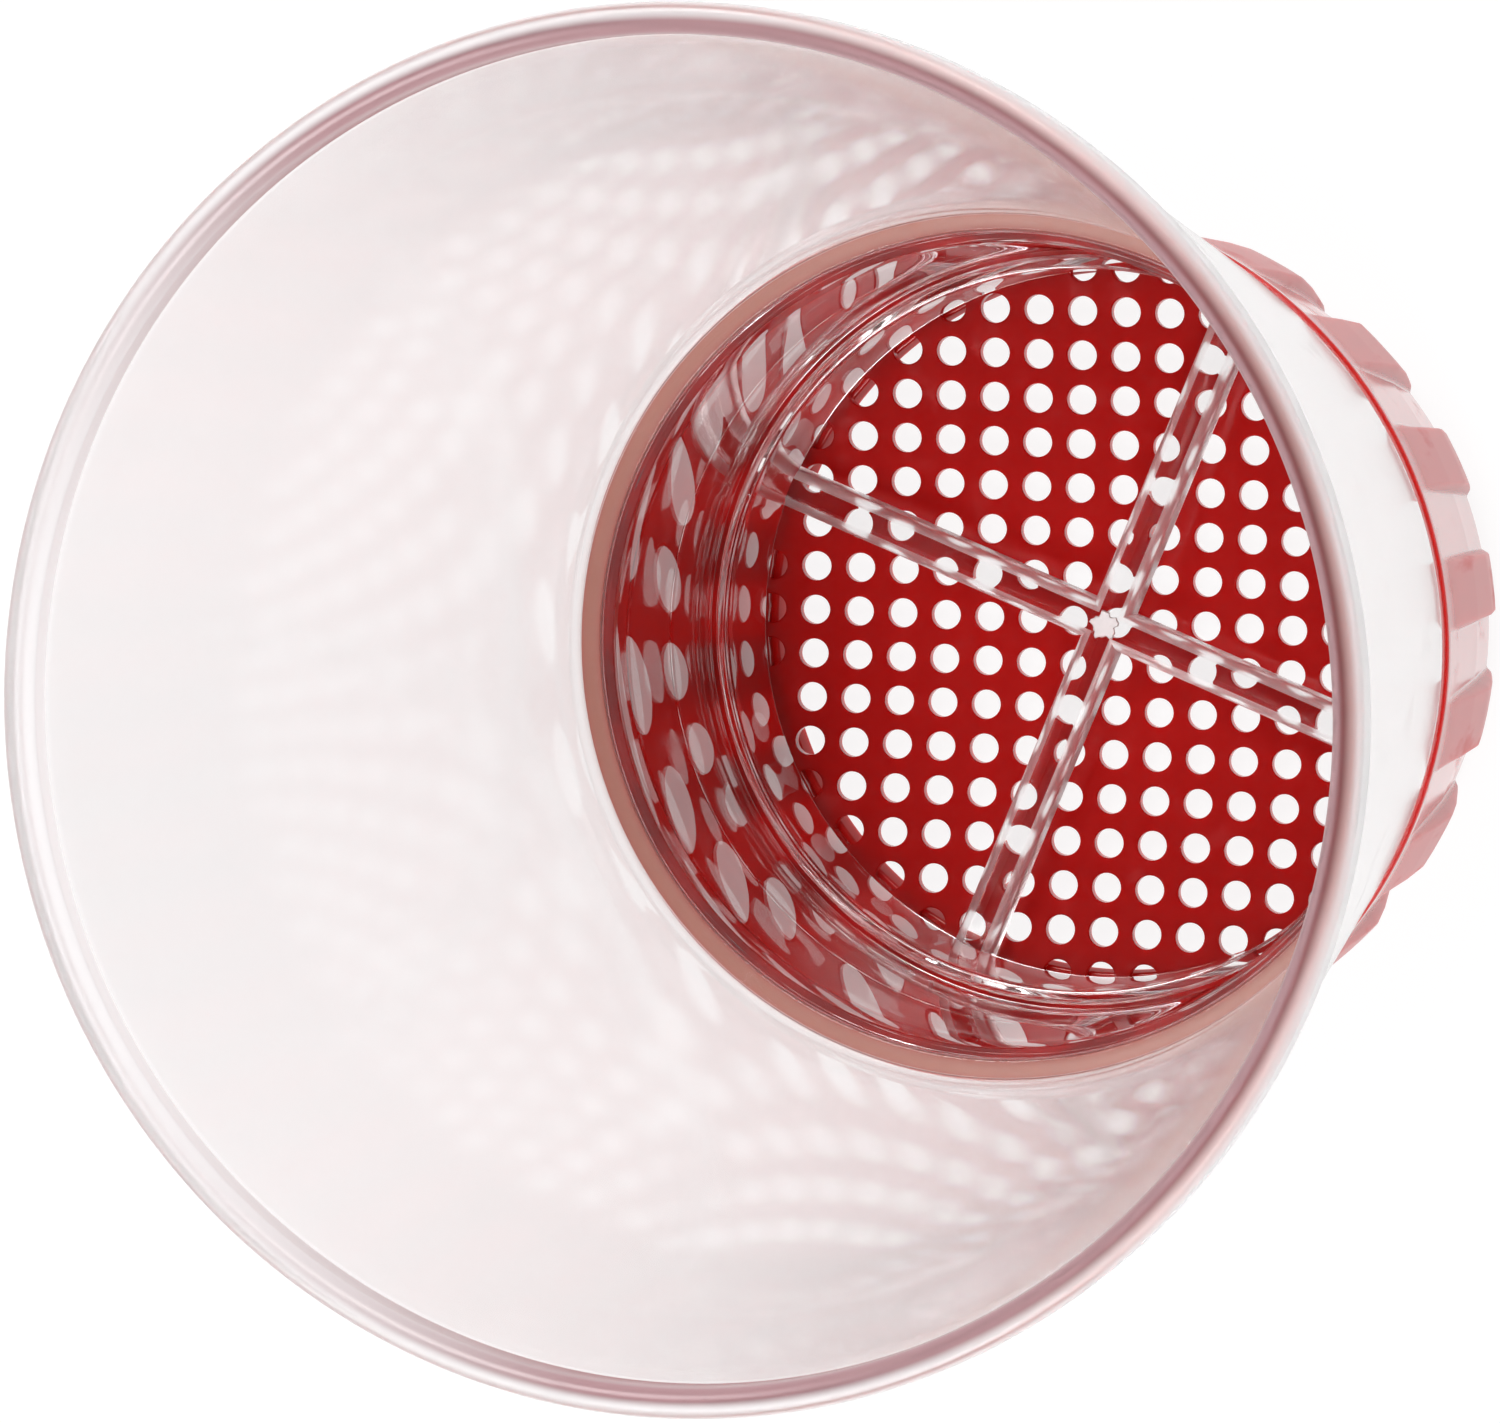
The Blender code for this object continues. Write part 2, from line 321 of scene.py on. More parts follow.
class Wires:
    """Short words for building a node tree."""

    def __init__(self, tree):
        self.tree = tree

    def node(self, kind, **settings):
        made = self.tree.nodes.new(kind)
        for key, value in settings.items():
            setattr(made, key, value)
        return made

    def feed(self, target, value):
        if isinstance(value, bpy.types.NodeSocket):
            self.tree.links.new(value, target)
        else:
            target.default_value = value

    def fill(self, made, inputs):
        """Links or sets a node's inputs, by name or in order; returns its outputs."""
        pairs = inputs.items() if isinstance(inputs, dict) else enumerate(inputs)
        for label, value in pairs:
            self.feed(made.inputs[label], value)
        return made.outputs

    def math(self, operation, *values):
        return self.fill(self.node("ShaderNodeMath", operation=operation), values)[0]

    def vector(self, operation, *values):
        outputs = self.fill(self.node("ShaderNodeVectorMath", operation=operation), values)
        return outputs["Value" if operation in ("LENGTH", "DOT_PRODUCT") else "Vector"]

    def scaled(self, vector, factor):
        made = self.node("ShaderNodeVectorMath", operation="SCALE")
        return self.fill(made, {0: vector, "Scale": factor})[0]

    def combined(self, *values):
        return self.fill(self.node("ShaderNodeCombineXYZ"), values)[0]

    def separated(self, vector):
        return self.fill(self.node("ShaderNodeSeparateXYZ"), [vector])

    def ramp(self, value, low, high, start=0.0, end=1.0):
        """A smooth step from start to end, as the value runs from low to high."""
        inputs = {"Value": value, "From Min": low, "From Max": high, "To Min": start, "To Max": end}
        return self.fill(self.node("ShaderNodeMapRange", interpolation_type="SMOOTHSTEP"), inputs)[0]

    def noise(self, vector, scale, detail=2.0):
        inputs = {"Vector": vector, "Scale": scale, "Detail": detail}
        return self.fill(self.node("ShaderNodeTexNoise"), inputs)["Fac"]

    def object_place(self):
        return self.node("ShaderNodeTexCoord").outputs["Object"]

    def shape(self, kind, inputs, **settings):
        """The first output of a new geometry node with its inputs filled."""
        return self.fill(self.node("GeometryNode" + kind, **settings), inputs)[0]

    def joined(self, *shapes):
        made = self.node("GeometryNodeJoinGeometry")
        for shape in shapes:
            self.feed(made.inputs[0], shape)
        return made.outputs[0]


def shape_tree(name, inputs):
    """A new geometry tree with named inputs; returns its wires, its input sockets and its output node."""
    tree = bpy.data.node_groups.new(name, "GeometryNodeTree")
    tree.interface.new_socket("Geometry", in_out="INPUT", socket_type="NodeSocketGeometry")
    for label, value in inputs.items():
        kind = "NodeSocketInt" if isinstance(value, int) else "NodeSocketFloat"
        tree.interface.new_socket(label, in_out="INPUT", socket_type=kind).default_value = value
    tree.interface.new_socket("Material", in_out="INPUT", socket_type="NodeSocketMaterial")
    tree.interface.new_socket("Geometry", in_out="OUTPUT", socket_type="NodeSocketGeometry")
    wires = Wires(tree)
    return wires, wires.node("NodeGroupInput").outputs, wires.node("NodeGroupOutput")


def end_tree(wires, given, result, shape):
    """Ends a geometry tree in Realize Instances and Set Material."""
    real = wires.shape("RealizeInstances", {"Geometry": shape})
    painted = wires.shape("SetMaterial", {"Geometry": real, "Material": given["Material"]})
    wires.feed(result.inputs[0], painted)


def grow(obj, tree, values):
    """Puts a geometry tree on an object with its inputs set by identifier, and settles the result."""
    modifier = obj.modifiers.new(tree.name, "NODES")
    modifier.node_group = tree
    for item in tree.interface.items_tree:
        if item.item_type == "SOCKET" and item.in_out == "INPUT" and item.name in values:
            modifier[item.identifier] = values[item.name]
    return settle(obj)


# ---------------------------------------------------------------- finishes


def effect_group(name, inputs, outputs):
    """A new shader group of plain numbers; returns its wires, its inputs and its result sockets."""
    tree = bpy.data.node_groups.new(name, "ShaderNodeTree")
    for label, value in inputs.items():
        socket = tree.interface.new_socket(label, in_out="INPUT", socket_type="NodeSocketFloat")
        socket.default_value = value
    for label in outputs:
        tree.interface.new_socket(label, in_out="OUTPUT", socket_type="NodeSocketFloat")
    wires = Wires(tree)
    return wires, wires.node("NodeGroupInput").outputs, wires.node("NodeGroupOutput").inputs


def handling_group():
    """Fine scuffs and moulding waviness: a roughness, a height and a soft mottle mask."""
    if "Handling" in bpy.data.node_groups:
        return bpy.data.node_groups["Handling"]
    usual = {"Base Roughness": 0.05, "Scuff Roughness": 0.05, "Scuff Scale": 180.0, "Wave Scale": 12.0}
    wires, given, result = effect_group("Handling", usual, ("Roughness", "Height", "Mottle"))
    here = wires.object_place()
    drawn_out = wires.fill(wires.node("ShaderNodeMapping"), {"Vector": here, "Scale": (1.0, 1.0, 0.25)})
    scuffs = wires.noise(drawn_out[0], given["Scuff Scale"], 6.0)
    scuffed = wires.math("MULTIPLY", wires.ramp(scuffs, 0.55, 0.75), given["Scuff Roughness"])
    wires.feed(result["Roughness"], wires.math("ADD", given["Base Roughness"], scuffed))
    wires.feed(result["Height"], wires.noise(here, given["Wave Scale"]))
    wires.feed(result["Mottle"], scuffs)
    return wires.tree


def edge_wear_group():
    """A mask that is bright on worn convex edges, broken up by grain."""
    if "Edge Wear" in bpy.data.node_groups:
        return bpy.data.node_groups["Edge Wear"]
    usual = {"Amount": 0.5, "Grain Scale": 400.0}
    wires, given, result = effect_group("Edge Wear", usual, ("Mask",))
    edges = wires.ramp(wires.node("ShaderNodeNewGeometry").outputs["Pointiness"], 0.52, 0.62)
    broken = wires.math("MULTIPLY", edges, wires.noise(wires.object_place(), given["Grain Scale"]))
    wires.feed(result["Mask"], wires.math("MULTIPLY", broken, given["Amount"]))
    return wires.tree


def new_surface(name):
    made = bpy.data.materials.new(name)
    made.use_nodes = True
    wires = Wires(made.node_tree)
    return made, wires, made.node_tree.nodes["Principled BSDF"]


def bumped(wires, shader, height, strength, distance):
    inputs = {"Strength": strength, "Distance": distance, "Height": height}
    wires.feed(shader.inputs["Normal"], wires.fill(wires.node("ShaderNodeBump"), inputs)[0])


def blended(wires, factor, first, second):
    """A mix of two colours, each given as a socket or as plain red, green and blue."""
    ends = [(*end, 1.0) if isinstance(end, tuple) else end for end in (first, second)]
    mix = wires.node("ShaderNodeMix", data_type="RGBA")
    return wires.fill(mix, {"Factor": factor, 6: ends[0], 7: ends[1]})[2]


def toned(colour, factor, lift=0.0):
    return tuple(min(1.0, factor * value + lift) for value in colour)


def handled(wires, base_roughness, scuff_roughness, scuff_scale, wave_scale):
    """The outputs of the handling group: Roughness, Height and Mottle."""
    made = wires.node("ShaderNodeGroup", node_tree=handling_group())
    return wires.fill(made, (base_roughness, scuff_roughness, scuff_scale, wave_scale))


def painted_rim_line(wires, radius):
    """A mask for the painted refraction of the red cup along the rim at one radius, strongest where the
    wall below is seen edge-on.
    """
    level = wires.vector("MULTIPLY", wires.object_place(), LEVEL)
    away = wires.math("ABSOLUTE", wires.math("SUBTRACT", wires.vector("LENGTH", level), radius))
    line = wires.ramp(away, 0.5 * MM, 1.6 * MM, 1.0, 0.0)
    turned = wires.node("ShaderNodeVectorTransform", vector_type="NORMAL")
    turned.convert_from = "OBJECT"
    turned.convert_to = "WORLD"
    across_wall = wires.fill(turned, [wires.vector("NORMALIZE", level)])[0]
    facing = wires.fill(wires.node("ShaderNodeLayerWeight"), {"Normal": across_wall})["Facing"]
    return wires.math("MULTIPLY", line, wires.ramp(facing, 0.55, 0.8))


def clear_plastic(name, tint, roughness, waviness, clarity, handled_above, painted_cup_red=None, line_radius=0.0):
    """Clear moulded plastic: polished low down, hazier where it is handled, with faint flow waves.

    The rim takes a dark red along a line round its inner corner: painted refraction of the red cup, seen
    through the thick rim.
    Soft light passes nearly straight through, and so does light that is trapped in the plastic.
    """
    made, wires, shader = new_surface(name)
    height = wires.separated(wires.object_place())["Z"]
    hazed = wires.ramp(height, handled_above, handled_above + 30.0 * MM, 0.3 * roughness, roughness)
    hands = handled(wires, hazed, 0.04, 160.0, 9.0)
    rays = wires.node("ShaderNodeLightPath").outputs
    soft = wires.math("MAXIMUM", rays["Is Shadow Ray"], rays["Is Diffuse Ray"])
    passed = wires.math("MULTIPLY", soft, SOFT_LIGHT_PASSED)
    trapped = wires.math("GREATER_THAN", rays["Ray Depth"], MOST_BOUNCES)
    body = blended(wires, hands["Mottle"], tint, toned(tint, 0.985))
    # Painted refraction of the red cup: a dark red line round the rim's inner corner.
    if painted_cup_red:
        body = blended(wires, painted_rim_line(wires, line_radius), body, painted_cup_red)
    inputs = {"Base Color": body, "Roughness": hands["Roughness"], "IOR": CLEAR_IOR}
    inputs["Transmission Weight"] = clarity
    inputs["Alpha"] = wires.math("SUBTRACT", 1.0, wires.math("MAXIMUM", passed, trapped))
    wires.fill(shader, inputs)
    bumped(wires, shader, hands["Height"], waviness, 2.0 * MM)
    return made


def frosted_plastic(name, tint, roughness, clarity):
    """Clear plastic left frosted, as on a draft face, with a crystalline grain; made whitish and nearly
    opaque, it also forms the painted glint where the ribs cross.
    """
    made, wires, shader = new_surface(name)
    hands = handled(wires, roughness, 0.15, 700.0, 500.0)
    body = blended(wires, hands["Mottle"], tint, toned(tint, 0.94))
    inputs = {"Base Color": body, "Roughness": hands["Roughness"], "IOR": CLEAR_IOR}
    inputs["Transmission Weight"] = clarity
    wires.fill(shader, inputs)
    bumped(wires, shader, hands["Height"], 0.1, 0.5 * MM)
    return made


def red_plastic(name, red, roughness, glow, satin=0.0, gloss=0.5):
    """Glossy moulded red plastic, satin on its lobes, a little paler where edges are rubbed."""
    made, wires, shader = new_surface(name)
    lobes = wires.node("ShaderNodeAttribute", attribute_name="lobe").outputs["Fac"]
    finish = wires.math("ADD", roughness, wires.math("MULTIPLY", lobes, satin))
    hands = handled(wires, finish, 0.12, 220.0, 40.0)
    wear = wires.fill(wires.node("ShaderNodeGroup", node_tree=edge_wear_group()), (0.5, 500.0))
    body = blended(wires, hands["Mottle"], toned(red, 0.86), red)
    inputs = {"Base Color": blended(wires, wear["Mask"], body, toned(red, 1.15, 0.05))}
    inputs.update({"Roughness": hands["Roughness"], "IOR": 1.5, "Specular IOR Level": gloss})
    inputs.update({"Subsurface Weight": glow, "Subsurface Scale": 1.0})
    inputs["Subsurface Radius"] = (8.0 * MM, 0.4 * MM, 0.3 * MM)
    wires.fill(shader, inputs)
    bumped(wires, shader, hands["Height"], 0.05, 1.0 * MM)
    return made


def silicone(name, amber):
    """Satin silicone with a fine powdery grain, darker and redder toward the edges of the ring: painted
    reflection of the red cup.
    """
    made, wires, shader = new_surface(name)
    hands = handled(wires, 0.42, 0.2, 600.0, 300.0)
    # Painted reflection of the red cup: a darker, redder colour toward the ring's edges.
    painted_cup_red = (1.05 * amber[0], 0.55 * amber[1], 0.55 * amber[2])
    body = blended(wires, hands["Mottle"], amber, toned(amber, 1.12, 0.01))
    radius = wires.vector("LENGTH", wires.vector("MULTIPLY", wires.object_place(), LEVEL))
    away = wires.math("ABSOLUTE", wires.math("SUBTRACT", radius, SEAL_MIDDLE_RADIUS))
    painted_reflection_share = wires.ramp(away, 0.4 * MM, 1.7 * MM)
    inputs = {"Base Color": blended(wires, painted_reflection_share, body, painted_cup_red), "Roughness": hands["Roughness"]}
    inputs.update({"Subsurface Weight": 0.15, "Subsurface Scale": 1.0})
    inputs["Subsurface Radius"] = (3.0 * MM, 1.5 * MM, 1.0 * MM)
    wires.fill(shader, inputs)
    bumped(wires, shader, hands["Height"], 0.15, 0.3 * MM)
    return made


# ---------------------------------------------------------------- shapes


def vessel_outline(given):
    """Corners of the vessel's section, from the inside of the rim, over it and down the outside."""
    top = given.rim_z
    lean = (given.mouth_radius - 0.5 * MM - SHOULDER_RADIUS) / (top - SHOULDER_Z)
    foot = top - given.rim_depth - 2.0 * MM
    inner_top = given.mouth_radius - 0.5 * MM - given.wall
    skirt_z = SHOULDER_Z - 1.5 * MM
    corners = [(inner_top - 0.4 * MM, top, 2.0 * MM), (given.mouth_radius, top, 1.1 * MM)]
    corners += [(given.mouth_radius, top - given.rim_depth, 1.6 * MM)]
    corners += [(SHOULDER_RADIUS + lean * (foot - SHOULDER_Z), foot, 2.5 * MM)]
    corners += [(SHOULDER_RADIUS, SHOULDER_Z, 4.0 * MM), (SHOULDER_RADIUS - 0.1 * MM, skirt_z, 0.25 * MM)]
    corners += [(SKIRT_RADIUS, skirt_z, 0.3 * MM), (SKIRT_RADIUS, SHOULDER_Z, 0.4 * MM)]
    corners += [(given.neck_radius, SHOULDER_Z, 0.6 * MM)]
    for level in BEAD_LEVELS:
        for rise, reach in ((0.9 * MM, 0.0), (0.0, BEAD_HEIGHT), (-0.9 * MM, 0.0)):
            corners.append((given.neck_radius + reach, level + rise, 0.4 * MM))
    corners += [(given.neck_radius, given.neck_z, 0.7 * MM), (given.neck_bore, given.neck_z, 0.7 * MM)]
    corners += [(given.neck_bore + 0.2 * MM, 73.4 * MM, 0.5 * MM)]
    ledge = SHOULDER_RADIUS + lean * (LEDGE_Z - SHOULDER_Z) - given.wall
    corners += [(ledge, LEDGE_Z, 0.15 * MM), (inner_top, top - 4.0 * MM, 4.0 * MM)]
    return subdivided(rounded(corners), 6.0 * MM)


def seal_outline(given):
    low = SEAL_LOW.z
    high = SEAL_HIGH.z
    corners = [(given.inner_radius, low, 0.3 * MM), (given.body_radius, low, 0.3 * MM)]
    corners += [(given.body_radius, given.flange_z, 0.2 * MM)]
    corners += [(given.flange_radius, given.flange_z, 0.35 * MM), (given.flange_radius, high, 0.35 * MM)]
    corners += [(given.inner_radius, high, 0.35 * MM)]
    return rounded(corners)


def cup_outline(given):
    """Corners of the cup's section: up the lobes, over the rim, down the bore and under the foot."""
    rim = given.rim_radius / MM
    top = given.rim_z / MM
    corners = [(48.9, 0.0, 0.7), (50.1, 0.9, 1.5), (51.1, 3.2, 3.0), (51.9, 8.0, 8.0)]
    corners += [(53.5, 18.0, 20.0), (55.0, 30.0, 40.0), (55.6, 46.0, 60.0), (55.9, 62.0, 30.0)]
    corners += [(rim, 71.1, 2.0), (rim, top, 0.35), (53.6, top, 0.4), (53.4, 66.0, 6.0)]
    corners += [(52.7, 50.0, 20.0), (51.7, 29.0, 20.0), (50.8, 20.0, 20.0), (49.7, 8.0, 4.0)]
    corners += [(49.7, 5.1, 0.4), (47.6, 5.1, 0.4), (47.6, 0.0, 0.5)]
    return subdivided(rounded([(r * MM, z * MM, f * MM) for r, z, f in corners]), 2.5 * MM)


def flute_columns(given):
    """Directions round the cup, closest together where a lobe steps down to a flat."""
    pitch = TURN / given.flutes
    half = 0.5 * pitch
    lobe = given.lobe_half_angle
    right = [lobe * at for at in (0.25, 0.5)]
    right += [lobe + given.edge_angle * at for at in (-1.25, -1.0, -0.8, -0.6, -0.4, -0.2, 0.0, 0.25)]
    right += [lobe + (half - lobe) * at for at in (0.35, 0.7)]
    offsets = [-half] + [-value for value in reversed(right)] + [0.0] + right
    return [given.phase + flute * pitch + offset for flute in range(given.flutes) for offset in offsets]


def flute_weight(radius, z, given):
    """How deep the flats are at a point of the cup's section, as a share of the greatest depth."""
    bore = between(((0.0, 47.6), (5.0, 47.6), (5.1, 49.7), (8.0, 49.7), (29.0, 51.7), (72.3, 53.6)), z)
    if radius < bore + 0.95 * MM:
        return 0.0
    flats = ((0.0, 48.9), (1.0, 49.6), (3.2, 50.3), (8.0, 50.8), (30.0, 52.9), (71.1, 56.0), (72.3, 56.0))
    return max(0.0, radius - between(flats, z)) / given.depth


def between(levels, z):
    """Radius at height z, read between (height, radius) levels given in millimetres."""
    for (low, start), (high, end) in zip(levels, levels[1:]):
        if z <= high * MM:
            return (start + (z / MM - low) / (high - low) * (end - start)) * MM
    return levels[-1][1] * MM


def flute_tree():
    """Draws the cup's outside in between its lobes, by the stored flute weight."""
    usual = {"Count": 20, "Phase": 0.0, "Lobe Half Angle": 0.087, "Edge Angle": 0.019, "Depth": 0.001}
    wires, given, result = shape_tree("Flutes", usual)
    where = wires.node("GeometryNodeInputPosition").outputs[0]
    split = wires.separated(where)
    around = wires.math("ARCTAN2", split["Y"], split["X"])
    pitch = wires.math("DIVIDE", TURN, given["Count"])
    half = wires.math("MULTIPLY", pitch, 0.5)
    shifted = wires.math("ADD", wires.math("SUBTRACT", around, given["Phase"]), half)
    within = wires.math("FLOORED_MODULO", shifted, pitch)
    away = wires.math("ABSOLUTE", wires.math("SUBTRACT", within, half))
    lobe = given["Lobe Half Angle"]
    step = wires.ramp(away, wires.math("SUBTRACT", lobe, given["Edge Angle"]), lobe)
    weight = wires.shape("InputNamedAttribute", {"Name": "flute"}, data_type="FLOAT")
    inset = wires.math("MULTIPLY", wires.math("MULTIPLY", step, given["Depth"]), weight)
    outer = wires.vector("NORMALIZE", wires.vector("MULTIPLY", where, LEVEL))
    offset = wires.scaled(outer, wires.math("MULTIPLY", inset, -1.0))
    moved = wires.shape("SetPosition", {"Geometry": given["Geometry"], "Offset": offset})
    raised = wires.math("MULTIPLY", wires.math("SUBTRACT", 1.0, step), weight)
    full = wires.math("MINIMUM", 1.0, wires.math("MULTIPLY", raised, 8.0))
    inputs = {"Geometry": moved, "Name": "lobe", "Value": full}
    kept = wires.shape("StoreNamedAttribute", inputs, data_type="FLOAT", domain="POINT")
    end_tree(wires, given, result, kept)
    return wires.tree


def perforation_tree():
    """A domed floor pierced by a square grid of round holes with softened edges."""
    usual = {"Radius": 0.05, "Pitch": 0.006, "Hole Radius": 0.002, "Edge": 0.0002, "Thickness": 0.0018}
    usual.update({"Perforated Radius": 0.0485, "Reach": 8.1, "Centre Height": 0.0034, "Dome": 1.667})
    wires, given, result = shape_tree("Perforations", usual)
    here = wires.node("GeometryNodeInputPosition").outputs[0]
    sheet = perforated_sheet(wires, given, here)
    flat = wires.vector("MULTIPLY", here, LEVEL)
    walls = hole_walls(wires, given, here, flat, sheet)
    depth = wires.combined(0.0, 0.0, wires.math("MULTIPLY", given["Thickness"], -1.0))
    turned = wires.shape("FlipFaces", [sheet])
    sunk = wires.shape("Transform", {"Geometry": turned, "Translation": depth})
    whole = {"Geometry": wires.joined(walls, sunk), "Distance": 0.002 * MM}
    merged = wires.shape("MergeByDistance", whole)
    squared = wires.vector("DOT_PRODUCT", flat, flat)
    rise = wires.math("ADD", given["Centre Height"], wires.math("MULTIPLY", squared, given["Dome"]))
    domed = wires.shape("SetPosition", {"Geometry": merged, "Offset": wires.combined(0.0, 0.0, rise)})
    end_tree(wires, given, result, domed)
    return wires.tree


def perforated_sheet(wires, given, here):
    """The flat top of the floor, with its holes and its border drawn back by the softened edge."""
    edge = given["Edge"]
    away = wires.vector("LENGTH", here)
    both_ways = wires.math("MULTIPLY", wires.math("CEIL", given["Reach"]), 2.0)
    side = wires.math("MULTIPLY", both_ways, given["Pitch"])
    count = wires.math("ADD", both_ways, 1.0)
    grid = {"Size X": side, "Size Y": side, "Vertices X": count, "Vertices Y": count}
    circle = {"Resolution": 28, "Radius": wires.math("ADD", given["Hole Radius"], edge)}
    reach = wires.math("MULTIPLY", given["Reach"], given["Pitch"])
    spots = {"Points": wires.shape("MeshGrid", grid), "Selection": wires.math("LESS_THAN", away, reach)}
    spots["Instance"] = wires.shape("CurvePrimitiveCircle", circle)
    real = wires.shape("RealizeInstances", {"Geometry": wires.shape("InstanceOnPoints", spots)})
    limit = wires.math("ADD", given["Perforated Radius"], edge)
    pulled = wires.scaled(here, wires.math("MINIMUM", 1.0, wires.math("DIVIDE", limit, away)))
    kept = wires.shape("SetPosition", {"Geometry": real, "Position": pulled})
    border = {"Resolution": 256, "Radius": wires.math("SUBTRACT", given["Radius"], edge)}
    loops = wires.joined(kept, wires.shape("CurvePrimitiveCircle", border))
    return wires.shape("FillCurve", {"Curve": loops}, mode="TRIANGLES")


def hole_walls(wires, given, here, flat, sheet):
    """Draws each rim down in three steps: a softened edge, the wall, and the softened lower edge."""
    edge = given["Edge"]
    pitch = wires.combined(given["Pitch"], given["Pitch"], 1.0)
    middle = wires.vector("ADD", here, wires.vector("MULTIPLY", pitch, (0.5, 0.5, 0.0)))
    centre = wires.vector("MULTIPLY", wires.vector("SNAP", middle, pitch), LEVEL)
    to_hole = wires.vector("NORMALIZE", wires.vector("SUBTRACT", centre, flat))
    near_border = wires.math("SUBTRACT", given["Radius"], wires.math("MULTIPLY", edge, 1.5))
    on_border = wires.math("GREATER_THAN", wires.vector("LENGTH", flat), near_border)
    choice = {"Factor": on_border, 4: to_hole, 5: wires.vector("NORMALIZE", flat)}
    way = wires.fill(wires.node("ShaderNodeMix", data_type="VECTOR"), choice)[1]
    neighbours = wires.node("GeometryNodeInputMeshEdgeNeighbors").outputs[0]
    select = wires.math("COMPARE", neighbours, 1.0, 0.1)
    straight = wires.math("SUBTRACT", given["Thickness"], wires.math("MULTIPLY", edge, 2.0))
    steps = ((edge, edge), (0.0, straight), (wires.math("MULTIPLY", edge, -1.0), edge))
    shape = sheet
    for sideways, down in steps:
        drawn = wires.node("GeometryNodeExtrudeMesh", mode="EDGES")
        outputs = wires.fill(drawn, {"Mesh": shape, "Selection": select, "Offset Scale": 0.0})
        drop = wires.combined(0.0, 0.0, wires.math("MULTIPLY", down, -1.0))
        offset = wires.vector("ADD", wires.scaled(way, sideways), drop)
        select = outputs["Top"]
        moved = {"Geometry": outputs["Mesh"], "Selection": select, "Offset": offset}
        shape = wires.shape("SetPosition", moved)
    return shape


def rib_tree():
    """Crossing ribs with rounded long edges, joined into the ring that carries them."""
    usual = {"Bars": 2, "Angle": 0.0, "Reach": 0.048, "Width": 0.0054, "Bottom": 0.0076, "Top": 0.0128}
    usual.update({"Edge": 0.0013, "Foot": 0.0003})
    wires, given, result = shape_tree("Cross Ribs", usual)
    height = wires.math("SUBTRACT", given["Top"], given["Bottom"])
    section = {"Width": given["Width"], "Height": height}
    # The section's lower half becomes the upper edges of the swept rib.
    corner = wires.separated(wires.node("GeometryNodeInputPosition").outputs[0])["Y"]
    choice = {"Factor": wires.math("LESS_THAN", corner, 0.0), 2: given["Foot"], 3: given["Edge"]}
    fillet = wires.fill(wires.node("ShaderNodeMix", data_type="FLOAT"), choice)[0]
    softened = {"Curve": wires.shape("CurvePrimitiveQuadrilateral", section), "Radius": fillet, "Count": 10}
    soft = wires.shape("FilletCurve", softened, mode="POLY")
    start = wires.combined(wires.math("MULTIPLY", given["Reach"], -1.0))
    line = wires.shape("CurvePrimitiveLine", {"Start": start, "End": wires.combined(given["Reach"])})
    bar = wires.shape("CurveToMesh", {"Curve": line, "Profile Curve": soft, "Fill Caps": True})
    centre = wires.math("MULTIPLY", wires.math("ADD", given["Top"], given["Bottom"]), 0.5)
    spots = {"Count": given["Bars"], "Offset": (0.0, 0.0, 0.0)}
    spots["Start Location"] = wires.combined(0.0, 0.0, centre)
    points = wires.shape("MeshLine", spots, mode="OFFSET")
    order = wires.node("GeometryNodeInputIndex").outputs[0]
    spread = wires.math("MULTIPLY", order, wires.math("DIVIDE", math.pi, given["Bars"]))
    turned = wires.combined(0.0, 0.0, wires.math("ADD", given["Angle"], spread))
    bars = wires.shape("InstanceOnPoints", {"Points": points, "Instance": bar, "Rotation": turned})
    joined = wires.node("GeometryNodeMeshBoolean", operation="UNION", solver="EXACT")
    joined.inputs["Self Intersection"].default_value = True
    for shape in (given["Geometry"], wires.shape("RealizeInstances", [bars])):
        wires.feed(joined.inputs["Mesh 2"], shape)
    end_tree(wires, given, result, joined.outputs[0])
    return wires.tree


def cross_ring_outline(given):
    top = given.top_z
    low = given.bottom_z
    corners = [(given.inner_radius, low, 0.45 * MM), (given.outer_radius, low, 0.45 * MM)]
    corners += [(given.outer_radius, top - 3.0 * MM, 0.5 * MM)]
    corners += [(given.lip_radius, top - 2.2 * MM, 0.4 * MM), (given.lip_radius, top, 0.5 * MM)]
    corners += [(given.inner_radius, top, 0.5 * MM)]
    return rounded(corners, 5)


# ---------------------------------------------------------------- operators


class SPINNER_OT_vessel(bpy.types.Operator):
    """Build the clear tapered vessel with its thick rim, shoulder and neck"""

    bl_idname = "spinner.vessel"
    bl_label = "Clear Vessel"

    def execute(self, context):
        given = context.scene.spinner_vessel
        obj = revolved("clear_vessel", vessel_outline(given), even_angles(given.segments))
        tint, pale, painted_cup_red = tuple(given.tint), tuple(given.rim_tint_with_painted_red), tuple(given.painted_rim_line_tint)
        line = given.mouth_radius - 2.5 * MM
        wall = clear_plastic("Clear Vessel Plastic", tint, given.roughness, 0.05, 0.88, HANDLED_Z)
        neck = clear_plastic("Clear Neck Plastic", (0.995, 0.985, 0.98), 0.03, 0.01, 1.0, HANDLED_Z)
        hazed = given.rim_roughness
        # The rim material carries painted refraction of the red cup: a pinker tint and a dark red line
        # round its inner corner.
        rim = clear_plastic("Clear Rim Plastic", pale, hazed, 0.05, 0.94, HANDLED_Z, painted_cup_red, line)
        place(obj, wall, "vessel", "vessel", math.radians(60.0))
        obj.data.materials.append(neck)
        obj.data.materials.append(rim)
        neck_top = SEAL_HIGH.z + 2.3 * MM
        rim_foot = given.rim_z - given.rim_depth
        for face in obj.data.polygons:
            height = face.center.z
            face.material_index = 1 if height < neck_top else 2 if height > rim_foot else 0
        return {"FINISHED"}


